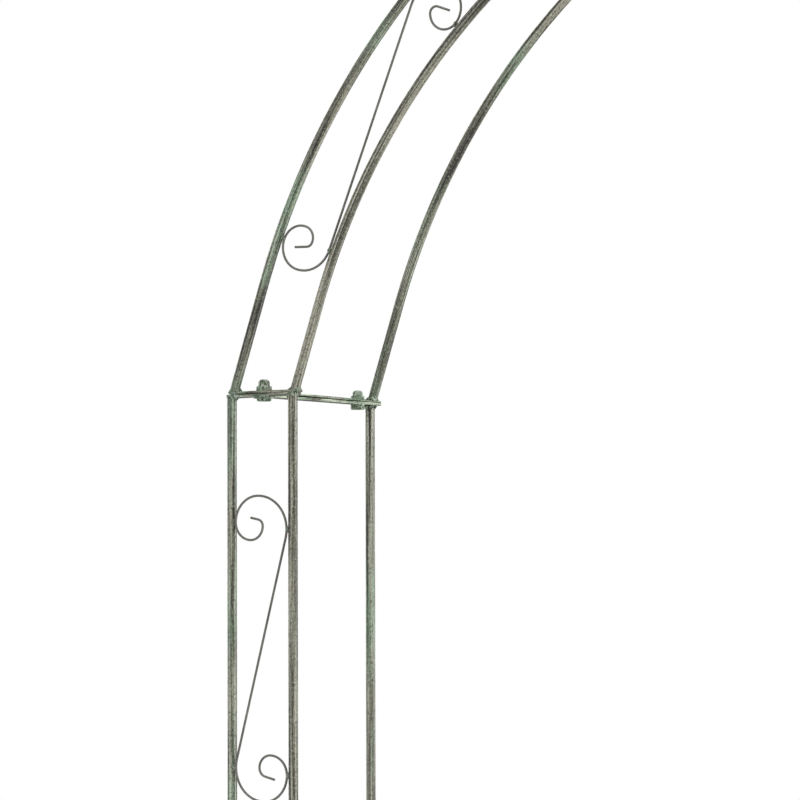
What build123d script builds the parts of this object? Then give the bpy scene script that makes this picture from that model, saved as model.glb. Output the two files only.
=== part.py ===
from build123d import *
from dataclasses import dataclass
import math
import os

os.makedirs("parts", exist_ok=True)

# Metal garden arch.  Two three-rod columns carry two curved halves that meet overhead.
# Each side is three bolted sections: lower leg, upper leg and arch half.  Every section
# is three round rods welded to a T of flat bar at each end.  The outer and the inner rod
# make a ladder at the front, filled with S-scrolls of thin wire; the third rod stands
# alone behind it.  The scrolls are tacked to the ladder's rods.
#
# Millimetres.  +X runs across the walkway, +Y to the back, +Z up.  The origin is on the
# ground at the middle of the arch's bounding box.  The left side is modelled and mirrored.

# ---------------------------------------------------------------- overall sizes
half_span = 762.0             # arch's middle plane to the axis of a leg's outer rod
ladder_pitch = 74.0           # outer rod to inner rod in the legs, axis to axis
column_depth = 209.0          # ladder plane to the axis of the rear rod
leg_section_height = 880.0    # one leg section, end face to end face
leg_sections = ("lower_leg", "upper_leg")

# ---------------------------------------------------------------- arch halves
lead_in_angle = 18.5          # lean of the straight stretch above the joint, degrees
lead_in_length = 117.0        # length of that stretch on the outer rod
foot_inset = 2.0              # arch rods land this far inward of the leg rods

# ---------------------------------------------------------------- stock
rod_d = 10.0
wire_d = 2.5
bar_width = 14.0
bar_thickness = 2.5
bar_corner_r = 3.0
bar_end_inset = 0.5           # crossbar's ends short of the rods' outer surfaces
bar_front_reach = 3.5         # ladder plane to the crossbar's front edge
tie_end_reach = 13.0          # rear rod's axis to the tie bar's back end

# ---------------------------------------------------------------- bolted joints, M8
bolt_d = 8.0
bolt_hole_d = 9.0
bolt_length = 14.0
head_flats = 13.0
head_height = 4.2
washer_d = 22.0
washer_hole_d = 8.4
washer_thickness = 1.5
nut_hex_height = 4.4
nut_dome_d = 11.2
nut_dome_edge_r = 3.8         # rounding of the dome's top edge
nut_height = 10.8
nut_bore_depth = 8.0
hex_chamfer = 0.8
rear_bolt_setback = 24.5      # rear bolt to the rear rod, axis to axis

# ---------------------------------------------------------------- scrolls
# A curl starts where the wire passes the first rod and turns towards the second.  Its two
# large quarter turns share the free width between the rods; the rest is hand bent, as
# (radius, turn in degrees) pairs and a straight end.
first_turn_share = 0.57
tack_r = 2.5
tack_length = 4.5
leg_top_curl = [(18.7, 90.0), (14.1, 90.0), (6.9, 77.0)]
leg_top_end = 9.3
leg_bottom_curl = [(20.7, 90.0), (12.5, 90.0), (9.4, 74.0)]
leg_bottom_end = 12.0
arch_foot_curl = [(20.6, 90.0), (12.3, 90.0), (7.0, 68.0)]
arch_foot_end = 14.1
arch_top_curl = [(17.3, 135.0), (7.0, 110.0)]
arch_top_end = 14.5
leg_curl_depth = 140.3        # leg's end face to the centre of the nearer curl
leg_curl_gap = 114.8          # between the two scrolls' nearer curls, centre to centre
arch_curl_offset = 174.6      # joint to the centre of the lowest curl, along the arch
arch_curl_gap = 128.5         # the same gap in the arch, along the arch
# Where the wire lies against its rods: in front of their plane, and the gap to them that
# the tack welds bridge.
leg_scroll_forward = 2.5
leg_tack_gap = 0.4
arch_scroll_forward = 0.0
arch_tack_gap = 1.2

# ---------------------------------------------------------------- derived sizes
rod_r = rod_d / 2
wire_r = wire_d / 2
bar_setback = bar_width / 2 - bar_front_reach
front_reach = max(rod_r, washer_d / 2 - bar_setback)
ladder_y = (front_reach - column_depth - tie_end_reach) / 2
rear_y = ladder_y + column_depth
front_bolt_y = ladder_y + bar_setback
rear_bolt_y = rear_y - rear_bolt_setback
joint_heights = [leg_section_height * (i + 1) for i in range(len(leg_sections))]
arch_base = joint_heights[-1]

outer_x = -half_span
inner_x = outer_x + ladder_pitch
bolt_x = (outer_x + inner_x) / 2

lean = math.radians(lead_in_angle)
arch_half_span = half_span - foot_inset
outer_radius = (arch_half_span - lead_in_length * math.sin(lean)) / math.cos(lean)
centre_z = arch_base + lead_in_length * math.cos(lean) - outer_radius * math.sin(lean)
arch_pitch = ladder_pitch * math.cos(lean)
inner_radius = outer_radius - arch_pitch
rear_radius = outer_radius - arch_pitch / 2
apex_bolt_z = centre_z + rear_radius

# Centre to centre of one scroll's curls: the two scrolls of a panel share its length.
arch_length = lead_in_length + rear_radius * math.radians(90 - lead_in_angle)
leg_curl_spacing = (leg_section_height - 2 * leg_curl_depth - leg_curl_gap) / 2
arch_curl_spacing = (arch_length - 2 * arch_curl_offset - arch_curl_gap) / 2

hex_corner_r = head_flats / 2 / math.cos(math.radians(30))
head_seat = bar_thickness + washer_thickness


@dataclass
class Ladder:
    """Two parallel rods and how a scroll is held between them."""
    pitch: float              # rod to rod, axis to axis
    forward: float            # scroll's plane in front of the rods' plane
    gap: float                # wire to rod, bridged by the tack weld

    @property
    def y(self):
        """Depth of the scroll's plane."""
        return ladder_y - self.forward

    @property
    def reach(self):
        """Rod axis to wire axis across the ladder, where they are tacked."""
        return math.sqrt((rod_r + self.gap + wire_r) ** 2 - self.forward ** 2)

    @property
    def radii(self):
        """Radii of a curl's two large turns, which share the width between the rods."""
        width = self.pitch - 2 * self.reach
        return width * first_turn_share, width * (1 - first_turn_share)


leg_ladder = Ladder(ladder_pitch, leg_scroll_forward, leg_tack_gap)
arch_ladder = Ladder(arch_pitch, arch_scroll_forward, arch_tack_gap)


# ---------------------------------------------------------------- helpers
def across(point_xz, y):
    """Point in the plane at depth y, from its x and z."""
    return Vector(point_xz[0], y, point_xz[1])


def step_from(point, heading, distance):
    """Point reached from a point (x, z) along a heading in degrees."""
    angle = math.radians(heading)
    return (point[0] + distance * math.cos(angle), point[1] + distance * math.sin(angle))


def round_bar(path, radius):
    """Round stock swept along a path."""
    section = Plane(origin=path @ 0, z_dir=path % 0) * Circle(radius)
    return sweep(section, path=path)


def on_arch(radius, degrees):
    """Point (x, z) of the left arch half, with the angle measured up from the horizontal."""
    angle = math.radians(degrees)
    return (-radius * math.cos(angle), centre_z + radius * math.sin(angle))


# ---------------------------------------------------------------- rods
def leg_rod(x, y, base_z):
    """Straight rod between the end bars of a leg section."""
    length = leg_section_height - 2 * bar_thickness
    rod = Cylinder(rod_r, length, align=(Align.CENTER, Align.CENTER, Align.MIN))
    return Pos(x, y, base_z + bar_thickness) * rod


def arch_rod(radius, y):
    """Straight lead-in and arc, cut flat where the end bars lie."""
    tangent_point = on_arch(radius, lead_in_angle)
    lead_in = (tangent_point[1] - arch_base) / math.cos(lean) + rod_d
    foot = step_from(tangent_point, 90 - lead_in_angle, -lead_in)
    middle = on_arch(radius, (lead_in_angle + 90) / 2)
    straight = Line(across(foot, y), across(tangent_point, y))
    arc = ThreePointArc(across(tangent_point, y), across(middle, y), across(on_arch(radius, 90), y))
    rod = round_bar(Wire([straight, arc]), rod_r)
    foot_plane = Plane(origin=(0, 0, arch_base + bar_thickness), z_dir=(0, 0, 1))
    apex_plane = Plane(origin=(-bar_thickness, 0, 0), z_dir=(-1, 0, 0))
    rod = split(rod, bisect_by=foot_plane, keep=Keep.TOP)
    return split(rod, bisect_by=apex_plane, keep=Keep.TOP)


# ---------------------------------------------------------------- flat-bar end frames
def crossbar(first, last):
    """Bar across the ladder's rods, in its own plane, with its bolt hole at the origin."""
    start = first - rod_r + bar_end_inset
    end = last + rod_r - bar_end_inset
    bar = Pos((start + end) / 2, 0, 0) * Box(end - start, bar_width, bar_thickness)
    bar = fillet(bar.edges().filter_by(Axis.Z), bar_corner_r)
    return bar - Cylinder(bolt_hole_d / 2, 2 * bar_thickness)


def tie_bar():
    """Bar along +Y from the back edge of the crossbar, whose hole is at the origin."""
    start = bar_width / 2
    end = rear_y - front_bolt_y + tie_end_reach
    bar = Pos(0, (start + end) / 2, 0) * Box(bar_width, end - start, bar_thickness)
    back_corners = bar.edges().filter_by(Axis.Z).sort_by(Axis.Y)[-2:]
    bar = fillet(back_corners, bar_corner_r)
    return bar - Pos(0, rear_bolt_y - front_bolt_y, 0) * Cylinder(bolt_hole_d / 2, 2 * bar_thickness)


def flat_frame(z, rod_shift=0.0):
    """Crossbar and tie bar lying flat, with their middle plane at height z."""
    place = Pos(bolt_x, front_bolt_y, z)
    half = ladder_pitch / 2
    return place * crossbar(rod_shift - half, rod_shift + half), place * tie_bar()


def apex_frame():
    """Crossbar and tie bar standing on edge where the arch halves meet."""
    stand = Plane(origin=(-bar_thickness / 2, front_bolt_y, apex_bolt_z), x_dir=(0, 0, -1), z_dir=(1, 0, 0))
    half = arch_pitch / 2
    return stand * crossbar(-half, half), stand * tie_bar()


# ---------------------------------------------------------------- scrolls
def bend(path, point, heading, radius, turn, y):
    """Add a tangent arc to a path; turn is positive to the left.  Gives the new end."""
    side = math.copysign(90, turn)
    centre = step_from(point, heading + side, radius)
    middle = step_from(centre, heading - side + turn / 2, radius)
    end = step_from(centre, heading - side + turn, radius)
    path.append(ThreePointArc(across(point, y), across(middle, y), across(end, y)))
    return end, heading + turn


def curl(start, heading, rod_heading, hand, ladder, bends, end_length):
    """Edges of one curl, from the end of the diagonal to the wire's tip."""
    path = []
    to_quarter = hand * ((hand * (rod_heading - heading)) % 360 + 90)
    point, heading = bend(path, start, heading, ladder.radii[0], to_quarter, ladder.y)
    point, heading = bend(path, point, heading, ladder.radii[1], hand * 90, ladder.y)
    for radius, turn in bends:
        point, heading = bend(path, point, heading, radius, hand * turn, ladder.y)
    tip = step_from(point, heading, end_length)
    path.append(Line(across(point, ladder.y), across(tip, ladder.y)))
    return path


def scroll(low, high, hand, ladder, low_curl, high_curl):
    """One S of wire.  low and high give each curl's centre (x, z) and the rods' heading."""
    radius = ladder.radii[0]
    run_x = high[0][0] - low[0][0]
    run_z = high[0][1] - low[0][1]
    swing = math.degrees(math.asin(2 * radius / math.hypot(run_x, run_z)))
    heading = math.degrees(math.atan2(run_z, run_x)) - hand * swing
    low_start = step_from(low[0], heading + hand * 90, radius)
    high_start = step_from(high[0], heading - hand * 90, radius)
    path = curl(low_start, heading + 180, low[1] + 180, hand, ladder, *low_curl)
    path += [Line(across(low_start, ladder.y), across(high_start, ladder.y))]
    path += curl(high_start, heading, high[1], hand, ladder, *high_curl)
    return round_bar(Wire(path), wire_r)


def curl_tacks(centre, rod_heading, hand, ladder):
    """Where the wire's axis passes a curl's two rods, each with the heading to its rod."""
    first_radius, second_radius = ladder.radii
    first_side = rod_heading - hand * 90
    second_side = rod_heading + hand * 90
    first = step_from(centre, first_side, first_radius)
    turned = step_from(centre, rod_heading, first_radius - second_radius)
    second = step_from(turned, second_side, second_radius)
    return [(first, first_side), (second, second_side)]


def tack_weld(spot, side, ladder):
    """Short bead that fills the gap between a wire and its rod and laps round the wire."""
    angle = math.radians(side)
    to_rod = Vector(math.cos(angle) * ladder.reach, ladder.forward, math.sin(angle) * ladder.reach).normalized()
    along_rod = Vector(-math.sin(angle), 0, math.cos(angle))
    outline = Circle(tack_r)
    outline -= Pos(-rod_r - ladder.gap / 2, 0) * Circle(rod_r)
    outline -= Pos(wire_r + ladder.gap / 2, 0) * Circle(wire_r)
    middle = across(spot, ladder.y) + to_rod * (wire_r + ladder.gap / 2)
    place = Plane(origin=middle, x_dir=-to_rod, z_dir=along_rod)
    return extrude(place * outline, tack_length / 2, both=True)


def tack_welds(low, high, hand, ladder):
    """The four tack welds that hold one scroll."""
    spots = curl_tacks(low[0], low[1] + 180, hand, ladder) + curl_tacks(high[0], high[1], hand, ladder)
    return [tack_weld(spot, side, ladder) for spot, side in spots]


def leg_scroll_places(base_z):
    """Curl centres, hand and curls of the two scrolls in a leg section."""
    clear = leg_ladder.reach + leg_ladder.radii[0]
    right_centre = inner_x - clear
    left_centre = outer_x + clear
    top = base_z + leg_section_height - leg_curl_depth
    bottom = base_z + leg_curl_depth
    top_curl = (leg_top_curl, leg_top_end)
    bottom_curl = (leg_bottom_curl, leg_bottom_end)
    upper_low = ((left_centre, top - leg_curl_spacing), 90)
    upper_high = ((right_centre, top), 90)
    lower_low = ((right_centre, bottom), 90)
    lower_high = ((left_centre, bottom + leg_curl_spacing), 90)
    return {
        "upper": (upper_low, upper_high, 1, leg_ladder, bottom_curl, top_curl),
        "lower": (lower_low, lower_high, -1, leg_ladder, top_curl, bottom_curl),
    }


def arch_scroll_places():
    """Curl centres, hand and curls of the two scrolls in the left arch half."""
    clear = arch_ladder.reach + arch_ladder.radii[0]
    near_inner = inner_radius + clear
    near_outer = outer_radius - clear
    first = lead_in_angle + math.degrees((arch_curl_offset - lead_in_length) / rear_radius)
    spacing = math.degrees(arch_curl_spacing / rear_radius)
    last = 90 - math.degrees(arch_curl_offset / rear_radius)
    foot_curl = (arch_foot_curl, arch_foot_end)
    top_curl = (arch_top_curl, arch_top_end)
    places = {}
    for name, low_angle, hand in (("lower", first, -1), ("upper", last - spacing, 1)):
        high_angle = low_angle + spacing
        low_r, high_r = (near_inner, near_outer) if hand < 0 else (near_outer, near_inner)
        low = (on_arch(low_r, low_angle), 90 - low_angle)
        high = (on_arch(high_r, high_angle), 90 - high_angle)
        curls = (foot_curl, top_curl) if hand < 0 else (top_curl, foot_curl)
        places[name] = (low, high, hand, arch_ladder, *curls)
    return places


# ---------------------------------------------------------------- fasteners
def hexagon(height):
    """Hexagonal block with its outer corners turned off at the top."""
    block = extrude(RegularPolygon(hex_corner_r, 6), height)
    turned = Cylinder(hex_corner_r, height, align=(Align.CENTER, Align.CENTER, Align.MIN))
    turned = chamfer(turned.edges().sort_by(Axis.Z)[-1], hex_chamfer)
    return block & turned


def bolt():
    """Hexagon bolt along +Z, with the joint's contact plane at z = 0."""
    head = Pos(0, 0, -head_seat) * Rot(180, 0, 0) * hexagon(head_height)
    shank = Cylinder(bolt_d / 2, bolt_length, align=(Align.CENTER, Align.CENTER, Align.MIN))
    shank = chamfer(shank.edges().sort_by(Axis.Z)[-1], hex_chamfer)
    return head + Pos(0, 0, -head_seat) * shank


def dome_nut():
    """Blind dome nut seated on the upper bar."""
    dome = Cylinder(nut_dome_d / 2, nut_height, align=(Align.CENTER, Align.CENTER, Align.MIN))
    dome = fillet(dome.edges().sort_by(Axis.Z)[-1], nut_dome_edge_r)
    bore = Cylinder(bolt_d / 2, nut_bore_depth, align=(Align.CENTER, Align.CENTER, Align.MIN))
    return Pos(0, 0, bar_thickness) * (hexagon(nut_hex_height) + dome - bore)


def washer():
    """Plain washer between the lower bar and the bolt's head."""
    ring = Cylinder(washer_d / 2, washer_thickness) - Cylinder(washer_hole_d / 2, 2 * washer_thickness)
    return Pos(0, 0, -bar_thickness - washer_thickness / 2) * ring


def joint_locations():
    """Every bolt's place: two in each column joint and two at the apex."""
    places = []
    for y in (front_bolt_y, rear_bolt_y):
        for z in joint_heights:
            places.append(Location((bolt_x, y, z)))
            places.append(Location((-bolt_x, y, z)))
        places.append(Location((0, y, apex_bolt_z), (0, 90, 0)))
    return places


# ---------------------------------------------------------------- the left side
def left_section_rods(name, base_z):
    """Outer, inner and rear rod of one section."""
    if name == "arch":
        radii = {"outer": outer_radius, "inner": inner_radius, "rear": rear_radius}
        return {rod: arch_rod(radius, rear_y if rod == "rear" else ladder_y) for rod, radius in radii.items()}
    spots = {"outer": (outer_x, ladder_y), "inner": (inner_x, ladder_y), "rear": (bolt_x, rear_y)}
    return {rod: leg_rod(x, y, base_z) for rod, (x, y) in spots.items()}


def left_section(name, base_z):
    """All pieces of one left section by short name, and its tack welds."""
    pieces = {}
    for rod_name, rod in left_section_rods(name, base_z).items():
        pieces[f"{rod_name}_rod"] = rod
    low_z = base_z + bar_thickness / 2
    high_z = base_z + leg_section_height - bar_thickness / 2
    low_frame = flat_frame(low_z, foot_inset if name == "arch" else 0.0)
    high_frame = apex_frame() if name == "arch" else flat_frame(high_z)
    for level, (cross, tie) in (("bottom", low_frame), ("top", high_frame)):
        pieces[f"{level}_crossbar"] = cross
        pieces[f"{level}_tie_bar"] = tie
    tacks = []
    places = arch_scroll_places() if name == "arch" else leg_scroll_places(base_z)
    for level, place in places.items():
        pieces[f"{level}_scroll"] = scroll(*place)
        tacks += tack_welds(*place[:4])
    return pieces, tacks


# ---------------------------------------------------------------- assembly and export
nodes = {}
welds = []
section_bases = [(name, leg_section_height * i) for i, name in enumerate(leg_sections)]
for section_name, section_base in section_bases + [("arch", arch_base)]:
    section_pieces, section_welds = left_section(section_name, section_base)
    for piece_name, piece in section_pieces.items():
        nodes[f"left_{section_name}_{piece_name}"] = piece
        nodes[f"right_{section_name}_{piece_name}"] = mirror(piece, about=Plane.YZ)
    for weld in section_welds:
        welds += [weld, mirror(weld, about=Plane.YZ)]

fasteners = {
    "joint_bolts": bolt(),
    "bolt_washers": washer(),
    "dome_nuts": dome_nut(),
}
for group_name, fastener in fasteners.items():
    nodes[group_name] = Compound([place * fastener for place in joint_locations()])
nodes["scroll_tack_welds"] = Compound(welds)

for node_name, shape in nodes.items():
    export_step(shape, f"parts/{node_name}.step")
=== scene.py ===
import math

import bmesh
import bpy
import numpy as np
from mathutils import Matrix, Vector, noise


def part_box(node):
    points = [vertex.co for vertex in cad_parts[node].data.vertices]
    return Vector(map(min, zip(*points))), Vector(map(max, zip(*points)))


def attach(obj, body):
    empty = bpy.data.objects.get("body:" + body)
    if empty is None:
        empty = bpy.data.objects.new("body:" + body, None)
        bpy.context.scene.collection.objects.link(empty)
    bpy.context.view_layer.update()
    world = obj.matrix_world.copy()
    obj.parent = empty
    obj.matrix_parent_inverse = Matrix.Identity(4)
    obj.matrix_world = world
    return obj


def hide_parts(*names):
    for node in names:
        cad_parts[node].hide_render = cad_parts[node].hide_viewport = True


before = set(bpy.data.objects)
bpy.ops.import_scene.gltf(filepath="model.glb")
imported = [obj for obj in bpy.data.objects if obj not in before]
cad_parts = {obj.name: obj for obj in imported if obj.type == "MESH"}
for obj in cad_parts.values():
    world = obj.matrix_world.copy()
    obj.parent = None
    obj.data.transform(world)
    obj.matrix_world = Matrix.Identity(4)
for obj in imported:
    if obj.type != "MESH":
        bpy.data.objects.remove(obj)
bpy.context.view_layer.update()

# ---------------------------------------------------------------- the arch's geometry, metres
SIDES = {"left": -1, "right": 1}
LEGS = ("lower_leg", "upper_leg")
RODS = ("outer", "inner", "rear")

LEAD_IN_ANGLE = 18.5          # lean of an arch rod above the joint, degrees
LEAD_IN_LENGTH = 0.117        # straight stretch of the outer rod
FOOT_INSET = 0.002            # arch rods land this far inward of the leg rods
WIRE_R = 0.00125
LEG_TACK_GAP = 0.0004
ARCH_TACK_GAP = 0.0012
FIRST_TURN_SHARE = 0.57
LEG_CURL_DEPTH = 0.1403
LEG_CURL_SPACING = 0.2423
ARCH_CURL_OFFSET = 0.1746
ARCH_CURL_SPACING = 0.2734
# A curl's hand-bent rest: (radius, turn in degrees) pairs and the straight end's length.
LEG_TOP_CURL = ([(0.0187, 90), (0.0141, 90), (0.0069, 77)], 0.0093)
LEG_BOTTOM_CURL = ([(0.0207, 90), (0.0125, 90), (0.0094, 74)], 0.012)
ARCH_FOOT_CURL = ([(0.0206, 90), (0.0123, 90), (0.007, 68)], 0.0141)
ARCH_TOP_CURL = ([(0.0173, 135), (0.007, 110)], 0.0145)


def middle(node):
    """Middle of a CAD node's box."""
    low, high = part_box(node)
    return (low + high) / 2


low_corner, high_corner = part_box("left_upper_leg_outer_rod")
ROD_R = (high_corner.x - low_corner.x) / 2
BAR_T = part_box("left_upper_leg_top_crossbar")[1].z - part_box("left_upper_leg_top_crossbar")[0].z
LADDER_Y = middle("left_upper_leg_outer_rod").y
REAR_Y = middle("left_upper_leg_rear_rod").y
ARCH_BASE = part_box("left_upper_leg_top_crossbar")[1].z
OUTER_X = middle("left_upper_leg_outer_rod").x
INNER_X = middle("left_upper_leg_inner_rod").x
LADDER_PITCH = INNER_X - OUTER_X
LEG_SCROLL_Y = middle("left_upper_leg_upper_scroll").y
ARCH_SCROLL_Y = middle("left_arch_upper_scroll").y

LEAN = math.radians(LEAD_IN_ANGLE)
OUTER_RADIUS = (-OUTER_X - FOOT_INSET - LEAD_IN_LENGTH * math.sin(LEAN)) / math.cos(LEAN)
CENTRE_Z = ARCH_BASE + LEAD_IN_LENGTH * math.cos(LEAN) - OUTER_RADIUS * math.sin(LEAN)
ARCH_PITCH = LADDER_PITCH * math.cos(LEAN)
ARCH_RADII = {"outer": OUTER_RADIUS, "inner": OUTER_RADIUS - ARCH_PITCH,
              "rear": OUTER_RADIUS - ARCH_PITCH / 2}


# ---------------------------------------------------------------- paths in the x-z plane
def step_from(point, heading, distance):
    """Point (x, z) reached along a heading in degrees."""
    angle = math.radians(heading)
    return (point[0] + distance * math.cos(angle), point[1] + distance * math.sin(angle))


def on_arch(radius, degrees):
    """Point (x, z) of the left arch half, angle measured up from the horizontal."""
    angle = math.radians(degrees)
    return (-radius * math.cos(angle), CENTRE_Z + radius * math.sin(angle))


def straight(start, end, spacing):
    """Evenly spaced points from start towards end, without the end."""
    count = max(1, round(math.dist(start, end) / spacing))
    return [(start[0] + (end[0] - start[0]) * i / count, start[1] + (end[1] - start[1]) * i / count)
            for i in range(count)]


def arch_path(radius, spacing):
    """Centreline of a left arch rod, from the foot bar's face to the crown bar's."""
    tangent_point = on_arch(radius, LEAD_IN_ANGLE)
    lead_in = (tangent_point[1] - ARCH_BASE - BAR_T) / math.cos(LEAN)
    foot = step_from(tangent_point, 90 - LEAD_IN_ANGLE, -lead_in)
    last_angle = math.degrees(math.acos(BAR_T / radius))
    count = round(radius * math.radians(last_angle - LEAD_IN_ANGLE) / spacing)
    turns = [(last_angle - LEAD_IN_ANGLE) * i / count for i in range(count + 1)]
    arc = [on_arch(radius, LEAD_IN_ANGLE + turn) for turn in turns]
    return straight(foot, tangent_point, spacing) + arc


def bend(path, heading, radius, turn):
    """Add a tangent arc to a path; turn is positive to the left.  Gives the new heading."""
    side = math.copysign(90, turn)
    centre = step_from(path[-1], heading + side, radius)
    count = max(3, round(abs(turn) / 5))
    for i in range(1, count + 1):
        path.append(step_from(centre, heading - side + turn * i / count, radius))
    return heading + turn


def ladder(pitch, scroll_y, gap):
    """How a scroll sits between two rods: its reach to them and its two large radii."""
    reach = math.sqrt((ROD_R + gap + WIRE_R) ** 2 - (LADDER_Y - scroll_y) ** 2)
    width = pitch - 2 * reach
    return reach, (width * FIRST_TURN_SHARE, width * (1 - FIRST_TURN_SHARE))


LEG_LADDER = ladder(LADDER_PITCH, LEG_SCROLL_Y, LEG_TACK_GAP)
ARCH_LADDER = ladder(ARCH_PITCH, ARCH_SCROLL_Y, ARCH_TACK_GAP)


def curl(start, heading, rod_heading, hand, radii, bends, end_length):
    """Points of one curl, from the end of the diagonal to the wire's tip."""
    path = [start]
    to_quarter = hand * ((hand * (rod_heading - heading)) % 360 + 90)
    heading = bend(path, heading, radii[0], to_quarter)
    heading = bend(path, heading, radii[1], hand * 90)
    for radius, turn in bends:
        heading = bend(path, heading, radius, hand * turn)
    tip = step_from(path[-1], heading, end_length)
    return path + straight(path[-1], tip, 0.002)[1:] + [tip]


def scroll_path(low, high, hand, radii, low_curl, high_curl):
    """Points of one S of wire.  low and high give each curl's centre and the rods' heading."""
    run_x = high[0][0] - low[0][0]
    run_z = high[0][1] - low[0][1]
    swing = math.degrees(math.asin(2 * radii[0] / math.hypot(run_x, run_z)))
    heading = math.degrees(math.atan2(run_z, run_x)) - hand * swing
    low_start = step_from(low[0], heading + hand * 90, radii[0])
    high_start = step_from(high[0], heading - hand * 90, radii[0])
    tail = curl(low_start, heading + 180, low[1] + 180, hand, radii, *low_curl)
    head = curl(high_start, heading, high[1], hand, radii, *high_curl)
    return tail[::-1] + straight(low_start, high_start, 0.008)[1:] + head


def leg_scrolls(top_z, base_z):
    """The two scrolls of a left leg section, as arguments of scroll_path."""
    reach, radii = LEG_LADDER
    right_centre = INNER_X - reach - radii[0]
    left_centre = OUTER_X + reach + radii[0]
    top = top_z - LEG_CURL_DEPTH
    bottom = base_z + LEG_CURL_DEPTH
    upper = (((left_centre, top - LEG_CURL_SPACING), 90), ((right_centre, top), 90), 1)
    lower = (((right_centre, bottom), 90), ((left_centre, bottom + LEG_CURL_SPACING), 90), -1)
    return {"upper": (*upper, radii, LEG_BOTTOM_CURL, LEG_TOP_CURL),
            "lower": (*lower, radii, LEG_TOP_CURL, LEG_BOTTOM_CURL)}


def arch_scrolls():
    """The two scrolls of the left arch half, as arguments of scroll_path."""
    reach, radii = ARCH_LADDER
    near_inner = ARCH_RADII["inner"] + reach + radii[0]
    near_outer = ARCH_RADII["outer"] - reach - radii[0]
    first = LEAD_IN_ANGLE + math.degrees((ARCH_CURL_OFFSET - LEAD_IN_LENGTH) / ARCH_RADII["rear"])
    spacing = math.degrees(ARCH_CURL_SPACING / ARCH_RADII["rear"])
    last = 90 - math.degrees(ARCH_CURL_OFFSET / ARCH_RADII["rear"])
    places = {}
    for name, low_angle, hand in (("lower", first, -1), ("upper", last - spacing, 1)):
        high_angle = low_angle + spacing
        low_r, high_r = (near_inner, near_outer) if hand < 0 else (near_outer, near_inner)
        curls = (ARCH_FOOT_CURL, ARCH_TOP_CURL) if hand < 0 else (ARCH_TOP_CURL, ARCH_FOOT_CURL)
        low = (on_arch(low_r, low_angle), 90 - low_angle)
        high = (on_arch(high_r, high_angle), 90 - high_angle)
        places[name] = (low, high, hand, radii, *curls)
    return places


# ---------------------------------------------------------------- meshes
UV_TURN = 0.083               # metres between one tube's paint and the next one's
DENTS_PER_METRE = 330         # broad dents in a drawn rod's skin
RIDGES_PER_METRE = 760        # finer roughness on top of them
DENT_SHARE = 0.6
SEED_STEPS = (3.1, 1.7, 0.9)   # metres each seed moves the dents
WELD_SEED_STEPS = (2.3, 0.7, 1.9)
SMOOTH_ANGLE = math.radians(2)      # flatter edges than this are merged away
BEVEL_ANGLE = math.radians(35)      # sharper edges than this are eased
SHADE_ANGLE = math.radians(40)      # sharper edges than this stay crisp
MERGE_DISTANCE = 1e-6


def new_piece(name, mesh, material, nodes=()):
    """Link a mesh as a piece of the object, smooth shaded, standing for some CAD nodes."""
    piece = bpy.data.objects.new(name, mesh)
    bpy.context.scene.collection.objects.link(piece)
    mesh.materials.clear()
    mesh.materials.append(material)
    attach(piece, "root")
    if nodes:
        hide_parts(*nodes)
    return piece


def hammered(point, depth):
    """Small dents and brush ridges of the painted surface at a point, metres outward."""
    dents = noise.noise(point * DENTS_PER_METRE) * DENT_SHARE
    ridges = noise.noise(point * RIDGES_PER_METRE) * (1 - DENT_SHARE)
    return depth * (dents + ridges)


def tube_mesh(name, path, y, radius, sides, side_sign, depth, seed):
    """Closed tube along a path of (x, z) points at depth y, with its UVs in metres."""
    points = np.array([(side_sign * -1 * x, z) for x, z in path])
    tangents = np.gradient(points, axis=0)
    tangents /= np.linalg.norm(tangents, axis=1)[:, None]
    lengths = np.concatenate([[0], np.cumsum(np.linalg.norm(np.diff(points, axis=0), axis=1))])
    shift = Vector([seed * step for step in SEED_STEPS])
    verts = []
    for (x, z), (tx, tz) in zip(points, tangents):
        for k in range(sides):
            angle = 2 * math.pi * k / sides
            out = Vector((tz * math.cos(angle), math.sin(angle), -tx * math.cos(angle)))
            place = Vector((x, y, z)) + out * radius
            verts.append(place + out * hammered(place + shift, depth))
    faces = []
    uvs = []
    around = 2 * math.pi * radius / sides
    turned = seed * UV_TURN
    for i in range(len(points) - 1):
        for k in range(sides):
            after = (k + 1) % sides
            faces.append((i * sides + k, i * sides + after,
                          (i + 1) * sides + after, (i + 1) * sides + k))
            left, right = turned + k * around, turned + (k + 1) * around
            low, high = lengths[i], lengths[i + 1]
            uvs += [(left, low), (right, low), (right, high), (left, high)]
    last = (len(points) - 1) * sides
    faces.append(tuple(range(sides))[::-1])
    faces.append(tuple(last + k for k in range(sides)))
    uvs += [(radius * math.cos(k), radius * math.sin(k)) for k in range(2 * sides)]
    mesh = bpy.data.meshes.new(name)
    mesh.from_pydata(verts, [], faces)
    layer = mesh.uv_layers.new(name="along")
    layer.data.foreach_set("uv", np.array(uvs, np.float32).ravel())
    mesh.polygons.foreach_set("use_smooth", [True] * (len(faces) - 2) + [False] * 2)
    tidy = bmesh.new()
    tidy.from_mesh(mesh)
    bmesh.ops.recalc_face_normals(tidy, faces=tidy.faces)
    tidy.to_mesh(mesh)
    tidy.free()
    return mesh


def along_axis(node):
    """Index of a CAD node's longest side."""
    low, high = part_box(node)
    size = high - low
    return max(range(3), key=lambda i: size[i])


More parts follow.
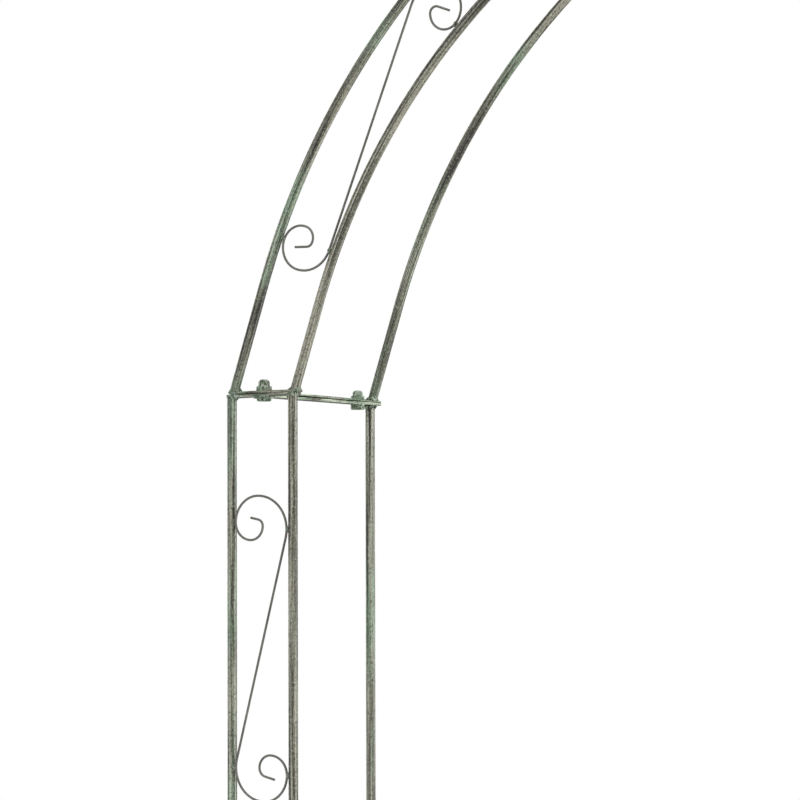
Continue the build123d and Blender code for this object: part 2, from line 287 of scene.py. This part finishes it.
def eased_copy(node, width, segments=2):
    """Copy of a CAD node's mesh with its edges rounded and UVs that run along it."""
    mesh = bpy.data.meshes.new("eased_" + node)
    shape = bmesh.new()
    shape.from_mesh(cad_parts[node].data)
    bmesh.ops.remove_doubles(shape, verts=shape.verts, dist=MERGE_DISTANCE)
    bmesh.ops.dissolve_limit(shape, angle_limit=SMOOTH_ANGLE, verts=shape.verts, edges=shape.edges)
    sharp = [e for e in shape.edges if len(e.link_faces) == 2 and e.calc_face_angle() > BEVEL_ANGLE]
    bmesh.ops.bevel(shape, geom=sharp, offset=width, segments=segments, profile=0.6, affect="EDGES",
                    clamp_overlap=True)
    bmesh.ops.triangulate(shape, faces=[f for f in shape.faces if len(f.verts) > 4])
    shape.normal_update()
    layer = shape.loops.layers.uv.new("along")
    long_axis = along_axis(node)
    others = [i for i in range(3) if i != long_axis]
    for face in shape.faces:
        face.smooth = True
        for loop in face.loops:
            co = loop.vert.co
            loop[layer].uv = (co[others[0]] + co[others[1]], co[long_axis])
    shape.to_mesh(mesh)
    shape.free()
    mesh.set_sharp_from_angle(angle=SHADE_ANGLE)
    return mesh


def islands(node):
    """Middle of each separate solid of a CAD node."""
    shape = bmesh.new()
    shape.from_mesh(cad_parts[node].data)
    bmesh.ops.remove_doubles(shape, verts=shape.verts, dist=MERGE_DISTANCE)
    left = set(shape.verts)
    middles = []
    while left:
        stack = [left.pop()]
        group = []
        while stack:
            vert = stack.pop()
            group.append(vert.co.copy())
            for edge in vert.link_edges:
                other = edge.other_vert(vert)
                if other in left:
                    left.remove(other)
                    stack.append(other)
        low = Vector([min(co[i] for co in group) for i in range(3)])
        high = Vector([max(co[i] for co in group) for i in range(3)])
        middles.append((low + high) / 2)
    shape.free()
    return sorted(middles, key=lambda p: (round(p.x, 4), round(p.z, 4), p.y))


# ---------------------------------------------------------------- materials
def node_of(tree, kind, **values):
    """New shader node with its plain settings."""
    node = tree.nodes.new(kind)
    for key, value in values.items():
        setattr(node, key, value)
    return node


def stretched_noise(tree, source, stretch, scale, detail=4.0, rough=0.6, offset=(0, 0, 0)):
    """Noise read through a stretched copy of the coordinates; gives its factor socket."""
    mapping = node_of(tree, "ShaderNodeMapping")
    mapping.inputs["Scale"].default_value = stretch
    mapping.inputs["Location"].default_value = offset
    tree.links.new(source, mapping.inputs["Vector"])
    texture = node_of(tree, "ShaderNodeTexNoise")
    texture.inputs["Scale"].default_value = scale
    texture.inputs["Detail"].default_value = detail
    texture.inputs["Roughness"].default_value = rough
    tree.links.new(mapping.outputs["Vector"], texture.inputs["Vector"])
    return texture.outputs["Fac"]


def ramp(tree, factor, stops):
    """Colour ramp with its stops; gives the colour socket."""
    node = node_of(tree, "ShaderNodeValToRGB")
    elements = node.color_ramp.elements
    while len(elements) < len(stops):
        elements.new(0.5)
    for element, (position, colour) in zip(elements, stops):
        element.position = position
        element.color = (*colour, 1)
    tree.links.new(factor, node.inputs["Fac"])
    return node.outputs["Color"]


def mixed(tree, factor, first, second, blend="MIX"):
    """Mix of two colours; gives the result socket."""
    node = node_of(tree, "ShaderNodeMix", data_type="RGBA", blend_type=blend)
    for socket, value in ((node.inputs[0], factor), (node.inputs[6], first), (node.inputs[7], second)):
        if isinstance(value, bpy.types.NodeSocket):
            tree.links.new(value, socket)
        else:
            socket.default_value = value
    return node.outputs[2]


def grey(value):
    """Grey of one linear value."""
    return (value, value, value)


UMBER = (0.030, 0.023, 0.018)
OLIVE = (0.150, 0.146, 0.105)
STONE = (0.450, 0.430, 0.345)
MOSS = (0.055, 0.085, 0.052)
SAGE = (0.185, 0.265, 0.175)
VERDIGRIS = (0.470, 0.570, 0.440)


def patina(name, across, along, green, source="UV", roughness=0.30, speckle=0.75, lift=1.0):
    """Antique paint: umber ground, lengthwise stone and sage brush streaks, fine dark and light grain.

    lift makes the whole paint lighter or darker."""
    material = bpy.data.materials.new(name)
    material.use_nodes = True
    tree = material.node_tree
    shader = tree.nodes["Principled BSDF"]
    if source == "UV":
        coordinates = node_of(tree, "ShaderNodeUVMap", uv_map="along").outputs["UV"]
        place = node_of(tree, "ShaderNodeTexCoord").outputs["Object"]
        streak_stretch = (across, along, 1)
        grain_stretch = (across * 1.9, across * 1.1, 1)
    else:
        coordinates = node_of(tree, "ShaderNodeTexCoord").outputs["Object"]
        place = coordinates
        streak_stretch = (across, across, along)
        grain_stretch = (across * 1.9, across * 1.9, across * 1.9)
    broad = stretched_noise(tree, place, (1, 1, 1), 7.0, 3.0)
    streaks = stretched_noise(tree, coordinates, streak_stretch, 1.0, 6.0, 0.66)
    brush = stretched_noise(tree, coordinates, streak_stretch, 1.7, 5.0, 0.62, (3.1, 7.7, 0.4))
    grain = stretched_noise(tree, coordinates, grain_stretch, 1.0, 3.0, 0.7, (9.2, 1.3, 2.2))
    ground = ramp(tree, streaks, [(0.42, UMBER), (0.49, OLIVE), (0.58, STONE)])
    greens = ramp(tree, streaks, [(0.41, MOSS), (0.48, SAGE), (0.58, VERDIGRIS)])
    patches = mixed(tree, 0.6, brush, broad)
    green_mask = ramp(tree, patches, [(0.50 - green, grey(0)), (0.58 - green, grey(1))])
    painted = mixed(tree, green_mask, ground, greens)
    pits = ramp(tree, grain, [(0.37, grey(speckle)), (0.48, grey(0))])
    colour = mixed(tree, pits, painted, (*UMBER, 1))
    flecks = ramp(tree, grain, [(0.56, grey(0)), (0.67, grey(speckle * 0.7))])
    colour = mixed(tree, flecks, colour, (*VERDIGRIS, 1))
    colour = mixed(tree, 1.0, colour, (lift, lift, lift, 1), "MULTIPLY")
    tree.links.new(colour, shader.inputs["Base Color"])
    rough_mask = ramp(tree, brush, [(0.35, grey(roughness - 0.08)), (0.65, grey(roughness + 0.14))])
    tree.links.new(rough_mask, shader.inputs["Roughness"])
    shader.inputs["Metallic"].default_value = 0.0
    shader.inputs["Specular IOR Level"].default_value = 0.5
    bump = node_of(tree, "ShaderNodeBump")
    bump.inputs["Strength"].default_value = 0.6
    bump.inputs["Distance"].default_value = 0.0004
    tree.links.new(mixed(tree, 0.4, grain, brush), bump.inputs["Height"])
    tree.links.new(bump.outputs["Normal"], shader.inputs["Normal"])
    return material


def wire_paint():
    """Dark grey-brown dip paint on the scroll wire, a little worn and dusty."""
    material = bpy.data.materials.new("wire_paint")
    material.use_nodes = True
    tree = material.node_tree
    shader = tree.nodes["Principled BSDF"]
    coordinates = node_of(tree, "ShaderNodeUVMap", uv_map="along").outputs["UV"]
    cloudy = stretched_noise(tree, coordinates, (300, 40, 1), 1.0, 4.0, 0.6)
    fine = stretched_noise(tree, coordinates, (900, 500, 1), 1.0, 3.0, 0.6, (2.0, 5.0, 0))
    base = ramp(tree, cloudy, [(0.32, (0.100, 0.090, 0.082)), (0.68, (0.215, 0.198, 0.180))])
    dusty = ramp(tree, fine, [(0.54, grey(0)), (0.72, grey(0.5))])
    colour = mixed(tree, dusty, base, (0.30, 0.33, 0.28, 1))
    tree.links.new(colour, shader.inputs["Base Color"])
    shader.inputs["Roughness"].default_value = 0.48
    shader.inputs["Metallic"].default_value = 0.0
    bump = node_of(tree, "ShaderNodeBump")
    bump.inputs["Strength"].default_value = 0.25
    bump.inputs["Distance"].default_value = 0.0002
    tree.links.new(fine, bump.inputs["Height"])
    tree.links.new(bump.outputs["Normal"], shader.inputs["Normal"])
    return material


ROD_PAINTS = {"outer": patina("outer_rod_patina", 340, 5, 0.02),
              "inner": patina("inner_rod_patina", 340, 5, -0.08),
              "rear": patina("rear_rod_patina", 340, 5, 0.0)}
BAR_PAINTS = {"crossbar": patina("crossbar_patina", 420, 22, 0.0, lift=0.95),
              "tie_bar": patina("tie_bar_patina", 420, 22, 0.0, lift=1.5)}
# Painted shade: a much darker copy of the bar paint for the bars' downward faces, where shade falls
# under light from above.
painted_shade_paint = patina("bar_underside_painted_shade", 420, 22, -0.02, lift=0.28)
fastener_paint = patina("fastener_patina", 300, 300, 0.06, source="Object")
weld_paint = patina("weld_patina", 420, 420, 0.06, source="Object", roughness=0.32)
tack_paint = patina("tack_patina", 420, 420, 0.06, source="Object", roughness=0.20, lift=0.62)
wire_finish = wire_paint()


# ---------------------------------------------------------------- rods
ROD_SIDES = 24
ROD_SPACING = 0.003
DENT_DEPTH = 0.00016

seed = 0
for side, sign in SIDES.items():
    for section in LEGS:
        for rod in RODS:
            node = f"{side}_{section}_{rod}_rod"
            low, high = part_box(node)
            x = -abs(middle(node).x)
            path = straight((x, low.z), (x, high.z), ROD_SPACING) + [(x, high.z)]
            seed += 1
            mesh = tube_mesh(node, path, middle(node).y, ROD_R - DENT_DEPTH / 2, ROD_SIDES,
                             -sign, DENT_DEPTH, seed)
            new_piece(f"painted_{node}", mesh, ROD_PAINTS[rod], [node])
    for rod in RODS:
        node = f"{side}_arch_{rod}_rod"
        y = REAR_Y if rod == "rear" else LADDER_Y
        path = arch_path(ARCH_RADII[rod], ROD_SPACING)
        seed += 1
        mesh = tube_mesh(node, path, y, ROD_R - DENT_DEPTH / 2, ROD_SIDES, -sign, DENT_DEPTH, seed)
        new_piece(f"painted_{node}", mesh, ROD_PAINTS[rod], [node])

# ---------------------------------------------------------------- flat bars
BAR_EDGE = 0.0007
TIE_SAG = 0.0016              # drop of a lower tie bar at its crossbar end
TIE_BOLT_Y = max(spot.y for spot in islands("joint_bolts"))
END_DROP = 0.0020             # bend of a lower crossbar's outer end
END_LENGTH = 0.018
PAINTED_SHADE_BELOW = -0.25             # faces whose normals point below this get the painted shade of the dark underside


def let_down(mesh, node):
    """Bend a bar that hangs under a joint: its tie bar sags, its crossbar droops at the outer end."""
    low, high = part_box(node)
    for vert in mesh.vertices:
        if node.endswith("tie_bar"):
            part = (TIE_BOLT_Y - vert.co.y) / (TIE_BOLT_Y - low.y)
            vert.co.z -= TIE_SAG * max(0, part)
        else:
            tip = max(abs(low.x), abs(high.x))
            part = (abs(vert.co.x) - tip + END_LENGTH) / END_LENGTH
            vert.co.z -= END_DROP * max(0, part) ** 2


for node in sorted(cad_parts):
    kind = "crossbar" if node.endswith("_crossbar") else "tie_bar"
    if node.endswith(kind):
        mesh = eased_copy(node, BAR_EDGE)
        if "_leg_top_" in node:
            let_down(mesh, node)
        new_piece(f"painted_{node}", mesh, BAR_PAINTS[kind], [node])
        # Painted shade: each bar's downward-facing faces take the dark underside paint.
        mesh.materials.append(painted_shade_paint)
        for face in mesh.polygons:
            face.material_index = int(face.normal.z < PAINTED_SHADE_BELOW)

# ---------------------------------------------------------------- scrolls
WIRE_SIDES = 14
WIRE_DENTS = 0.00003

for side, sign in SIDES.items():
    for section in (*LEGS, "arch"):
        if section == "arch":
            places = arch_scrolls()
        else:
            top_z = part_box(f"{side}_{section}_top_crossbar")[1].z
            base_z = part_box(f"{side}_{section}_bottom_crossbar")[0].z
            places = leg_scrolls(top_z, base_z)
        for level, place in places.items():
            node = f"{side}_{section}_{level}_scroll"
            seed += 1
            mesh = tube_mesh(node, scroll_path(*place), middle(node).y, WIRE_R, WIRE_SIDES,
                             -sign, WIRE_DENTS, seed)
            new_piece(f"bent_{node}", mesh, wire_finish, [node])

# ---------------------------------------------------------------- fasteners
FASTENER_EDGE = 0.00025
NUT_TURN = 32                 # degrees, the way the nuts' and heads' flats happened to end up
FRONT_NUT = (1.06, 1.09)      # spread and rise: paint and scale built up on the nuts
REAR_NUT = (0.96, 0.86)
FRONT_WASHER = (1.03, 1.8)    # a dished, paint-filled edge
REAR_WASHER = (0.66, 1.0)


def worn(mesh, spots, front, rear, turn, from_top):
    """Turn, spread and stretch each fastener of a mesh about its own axis, keeping its seat.

    front and rear are the (spread, rise) of the fasteners at the front and at the rear."""
    levels = {}
    owners = []
    for vert in mesh.vertices:
        spot = min(range(len(spots)), key=lambda i: (spots[i] - vert.co).length)
        owners.append(spot)
        levels.setdefault(spot, []).append(vert)
    for spot, verts in levels.items():
        crown = abs(spots[spot].x) < 0.1
        spread, rise = front if spots[spot].y < 0 else rear
        up = Vector((math.copysign(1, spots[spot].x), 0, 0)) if crown else Vector((0, 0, 1))
        heights = [(vert.co - spots[spot]).dot(up) for vert in verts]
        seat = max(heights) if from_top else min(heights)
        quarter = Matrix.Rotation(math.radians(turn), 3, up)
        for vert, height in zip(verts, heights):
            flat = vert.co - spots[spot] - up * height
            vert.co = spots[spot] + quarter @ flat * spread + up * (seat + (height - seat) * rise)


for node, front, rear, turn, from_top in (("joint_bolts", (1, 1), (1, 1), NUT_TURN, False),
                                          ("dome_nuts", FRONT_NUT, REAR_NUT, NUT_TURN, False),
                                          ("bolt_washers", FRONT_WASHER, REAR_WASHER, 0, True)):
    mesh = eased_copy(node, FASTENER_EDGE)
    worn(mesh, islands(node), front, rear, turn, from_top)
    new_piece(f"painted_{node}", mesh, fastener_paint, [node])


# ---------------------------------------------------------------- welds
LUMP_DEPTH, LUMPS = 0.16, 1.6
RIPPLE_DEPTH, RIPPLES = 0.05, 5
BEAD_TURNS, BEAD_RINGS = 64, 8
BEAD_WAVE, BEAD_WAVES = 0.30, 1.9   # slow change of a bead's size round the rod
BEAD_RIPPLES = 17                   # fine ripples round the rod
BEAD_HOLLOW = 0.34                  # how far a fillet's face is dished
BEAD_SINK = 0.97                    # a bead starts just inside the rod's skin


def blob(shape, centre, axes, seed):
    """Add a lumpy bead of weld: a sphere scaled to three half-axis vectors."""
    made = bmesh.ops.create_icosphere(shape, subdivisions=3, radius=1)
    shift = Vector([seed * step for step in WELD_SEED_STEPS])
    for vert in made["verts"]:
        lump = 1 + LUMP_DEPTH * noise.noise(vert.co * LUMPS + shift)
        lump += RIPPLE_DEPTH * noise.noise(vert.co * RIPPLES + shift)
        out = axes[0] * vert.co.x + axes[1] * vert.co.y + axes[2] * vert.co.z
        vert.co = centre + out * lump


def room_to_edge(start, direction, bar):
    """Distance along a direction in a bar's plane from a point to the edge of its box."""
    low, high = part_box(bar)
    distance = 1.0
    for i in range(3):
        if abs(direction[i]) > 1e-6:
            edge = high[i] if direction[i] > 0 else low[i]
            distance = min(distance, (edge - start[i]) / direction[i])
    return distance


def ring_bead(shape, centre, normal, axis, bar, seed):
    """Add the fillet weld round a rod of this axis where it stands on a bar.

    Where the bar ends under the rod, the bead runs over the bar's edge."""
    turns, rings = BEAD_TURNS, BEAD_RINGS
    first = axis.cross(Vector((0, 1, 0)))
    first = first.normalized() if first.length > 0.1 else Vector((1, 0, 0))
    second = axis.cross(first).normalized()
    grid = []
    for i in range(turns):
        angle = 2 * math.pi * i / turns
        side = first * math.cos(angle) + second * math.sin(angle)
        foot = side * ROD_R
        foot -= axis * (foot.dot(normal) / axis.dot(normal))
        outward = (side - normal * side.dot(normal)).normalized()
        circle = Vector((math.cos(angle), math.sin(angle), 0))
        ripple = 1 + BEAD_WAVE * noise.noise(circle * BEAD_WAVES + Vector((seed, 0, 0)))
        ripple += RIPPLE_DEPTH * math.sin(angle * BEAD_RIPPLES + seed)
        room = room_to_edge(centre + foot, outward, bar)
        over = min(1, max(0, 1 - room / FILLET_REACH))
        reach = FILLET_REACH * (1 - over) + EDGE_BEAD * over
        drop = EDGE_DROP * over
        run = min(room, 0) * over + reach * ripple
        end = outward * min(run, max(room, 0) + EDGE_BEAD) - normal * drop
        loop = []
        for j in range(rings + 1):
            part = j / rings
            hollow = 1 - BEAD_HOLLOW * math.sin(math.pi * part) * (1 - over)
            bulge = outward * EDGE_BEAD * math.sin(math.pi * part) * over
            up = axis * FILLET_HEIGHT * ripple * (1 - part) * hollow * (1 - 0.5 * over)
            loop.append(shape.verts.new(centre + foot * BEAD_SINK + up + end * part * hollow + bulge))
        grid.append(loop)
    for i in range(turns):
        after = grid[(i + 1) % turns]
        for j in range(rings):
            shape.faces.new((grid[i][j], grid[i][j + 1], after[j + 1], after[j]))
        shape.faces.new((grid[i][0], after[0], after[-1], grid[i][-1]))


def weld_piece(name, shape, paint, nodes=()):
    """Finish a bmesh of beads as a piece."""
    bmesh.ops.recalc_face_normals(shape, faces=shape.faces)
    for face in shape.faces:
        face.smooth = True
    mesh = bpy.data.meshes.new(name)
    shape.to_mesh(mesh)
    shape.free()
    return new_piece(name, mesh, paint, nodes)


TACK_SHIFT = Vector((0, -0.0010, 0))
TACK_LEAN = 0.0012            # a tack's lean from the wire onto the rod
TACK_AXES = (Vector((0.0024, 0, 0)), Vector((0, 0.0026, 0)), Vector((0, 0, 0.0034)))

tacks = bmesh.new()
for i, spot in enumerate(islands("scroll_tack_welds")):
    shift = TACK_SHIFT.copy()
    if spot.z < ARCH_BASE:
        rod_x = math.copysign(min((-OUTER_X, -INNER_X), key=lambda x: abs(x - abs(spot.x))), spot.x)
        shift.x = math.copysign(TACK_LEAN, rod_x - spot.x)
    blob(tacks, spot + shift, TACK_AXES, i)
weld_piece("painted_scroll_tack_welds", tacks, tack_paint, ["scroll_tack_welds"])

FILLET_REACH = 0.0034         # weld's width on the bar
FILLET_HEIGHT = 0.0040        # weld's height on the rod
EDGE_BEAD = 0.0004            # weld's thickness where it wraps the bar's edge
EDGE_DROP = 0.0020            # how far down the edge it runs
CROWN_NORMAL = Vector((1, 0, 0))
UP = Vector((0, 0, 1))

for side, sign in SIDES.items():
    for section in (*LEGS, "arch"):
        for level, facing in (("bottom", 1), ("top", -1)):
            shape = bmesh.new()
            for k, rod in enumerate(RODS):
                low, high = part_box(f"{side}_{section}_{rod}_rod")
                y = (low.y + high.y) / 2
                if section != "arch":
                    centre = Vector(((low.x + high.x) / 2, y, low.z if facing > 0 else high.z))
                    normal, axis = UP * facing, UP * facing
                else:
                    path = arch_path(ARCH_RADII[rod], ROD_SPACING)
                    x, z = path[0] if facing > 0 else path[-1]
                    near_x, near_z = path[1] if facing > 0 else path[-2]
                    centre = Vector((-sign * x, y, z))
                    axis = Vector((-sign * (near_x - x), 0, near_z - z)).normalized()
                    normal = UP if facing > 0 else CROWN_NORMAL * sign
                bar = "tie_bar" if rod == "rear" else "crossbar"
                ring_bead(shape, centre, normal, axis, f"{side}_{section}_{level}_{bar}", seed + k)
            seed += 3
            weld_piece(f"{side}_{section}_{level}_rod_welds", shape, weld_paint)

# ---------------------------------------------------------------- floor, light, camera
floor_mesh = bpy.data.meshes.new("floor")
FLOOR_HALF = 9.0
floor_corners = [(-FLOOR_HALF, -FLOOR_HALF, 0), (FLOOR_HALF, -FLOOR_HALF, 0),
                 (FLOOR_HALF, FLOOR_HALF, 0), (-FLOOR_HALF, FLOOR_HALF, 0)]
floor_mesh.from_pydata(floor_corners, [], [(0, 1, 2, 3)])
floor = bpy.data.objects.new("floor", floor_mesh)
bpy.context.scene.collection.objects.link(floor)
floor_paint = bpy.data.materials.new("pale_floor")
floor_paint.use_nodes = True
floor_shader = floor_paint.node_tree.nodes["Principled BSDF"]
floor_shader.inputs["Base Color"].default_value = (0.80, 0.80, 0.79, 1)
floor_shader.inputs["Roughness"].default_value = 0.7
floor_mesh.materials.append(floor_paint)

world = bpy.data.worlds.new("studio")
bpy.context.scene.world = world
world.use_nodes = True
sky = world.node_tree
backdrop = sky.nodes["Background"]
backdrop.inputs["Color"].default_value = (1, 1, 1, 1)
backdrop.inputs["Strength"].default_value = 1.0
ambient = node_of(sky, "ShaderNodeBackground")
ambient.inputs["Color"].default_value = (0.97, 1.0, 0.98, 1)
ambient.inputs["Strength"].default_value = 0.25
seen = node_of(sky, "ShaderNodeLightPath")
chosen = node_of(sky, "ShaderNodeMixShader")
sky.links.new(seen.outputs["Is Camera Ray"], chosen.inputs["Fac"])
sky.links.new(ambient.outputs["Background"], chosen.inputs[1])
sky.links.new(backdrop.outputs["Background"], chosen.inputs[2])
sky.links.new(chosen.outputs["Shader"], sky.nodes["World Output"].inputs["Surface"])


def soft_box(name, place, target, width, height, power):
    """Rectangular area light facing a target."""
    lamp = bpy.data.lights.new(name, "AREA")
    lamp.shape = "RECTANGLE"
    lamp.size = width
    lamp.size_y = height
    lamp.energy = power
    box = bpy.data.objects.new(name, lamp)
    box.location = place
    box.rotation_euler = (Vector(target) - Vector(place)).to_track_quat("-Z", "Y").to_euler()
    bpy.context.scene.collection.objects.link(box)


def lamp_place(angle, distance, height):
    """Place at an angle from straight in front towards +X, seen from the left column."""
    turn = math.radians(angle)
    return (OUTER_X + distance * math.sin(turn), -distance * math.cos(turn), height)


COLUMN = (OUTER_X, 0, 1.6)
soft_box("right_soft_box", lamp_place(112, 4.2, 1.9), COLUMN, 3.0, 3.6, 135)
soft_box("front_strip", lamp_place(-15, 4.0, 1.8), COLUMN, 0.35, 3.6, 62)
soft_box("left_soft_box", lamp_place(-120, 4.2, 2.0), (0, 0, 1.6), 1.6, 3.0, 25)
soft_box("top_soft_box", (0, 0, 5.2), (0, 0, 1.6), 3.0, 3.0, 110)

CAMERA_PLACE = (2.910, LADDER_Y - 5.639, ARCH_BASE - 0.403)
CAMERA_TURN = 31.602          # degrees to the left of +Y
CAMERA_TILT = 3.375           # degrees upward
CAMERA_ROLL = -0.150
SENSOR = 36.0
FOCAL_SHARE = 8.203      # focal length over frame width

camera_data = bpy.data.cameras.new("camera")
camera_data.sensor_width = SENSOR
camera_data.lens = SENSOR * FOCAL_SHARE
camera_data.clip_end = 60
camera = bpy.data.objects.new("camera", camera_data)
aim = Matrix.Rotation(math.radians(CAMERA_TURN), 4, "Z")
aim = aim @ Matrix.Rotation(math.radians(90 + CAMERA_TILT), 4, "X")
aim = aim @ Matrix.Rotation(math.radians(CAMERA_ROLL), 4, "Z")
camera.matrix_world = Matrix.Translation(CAMERA_PLACE) @ aim
bpy.context.scene.collection.objects.link(camera)
bpy.context.scene.camera = camera
bpy.context.scene.view_settings.view_transform = "Standard"
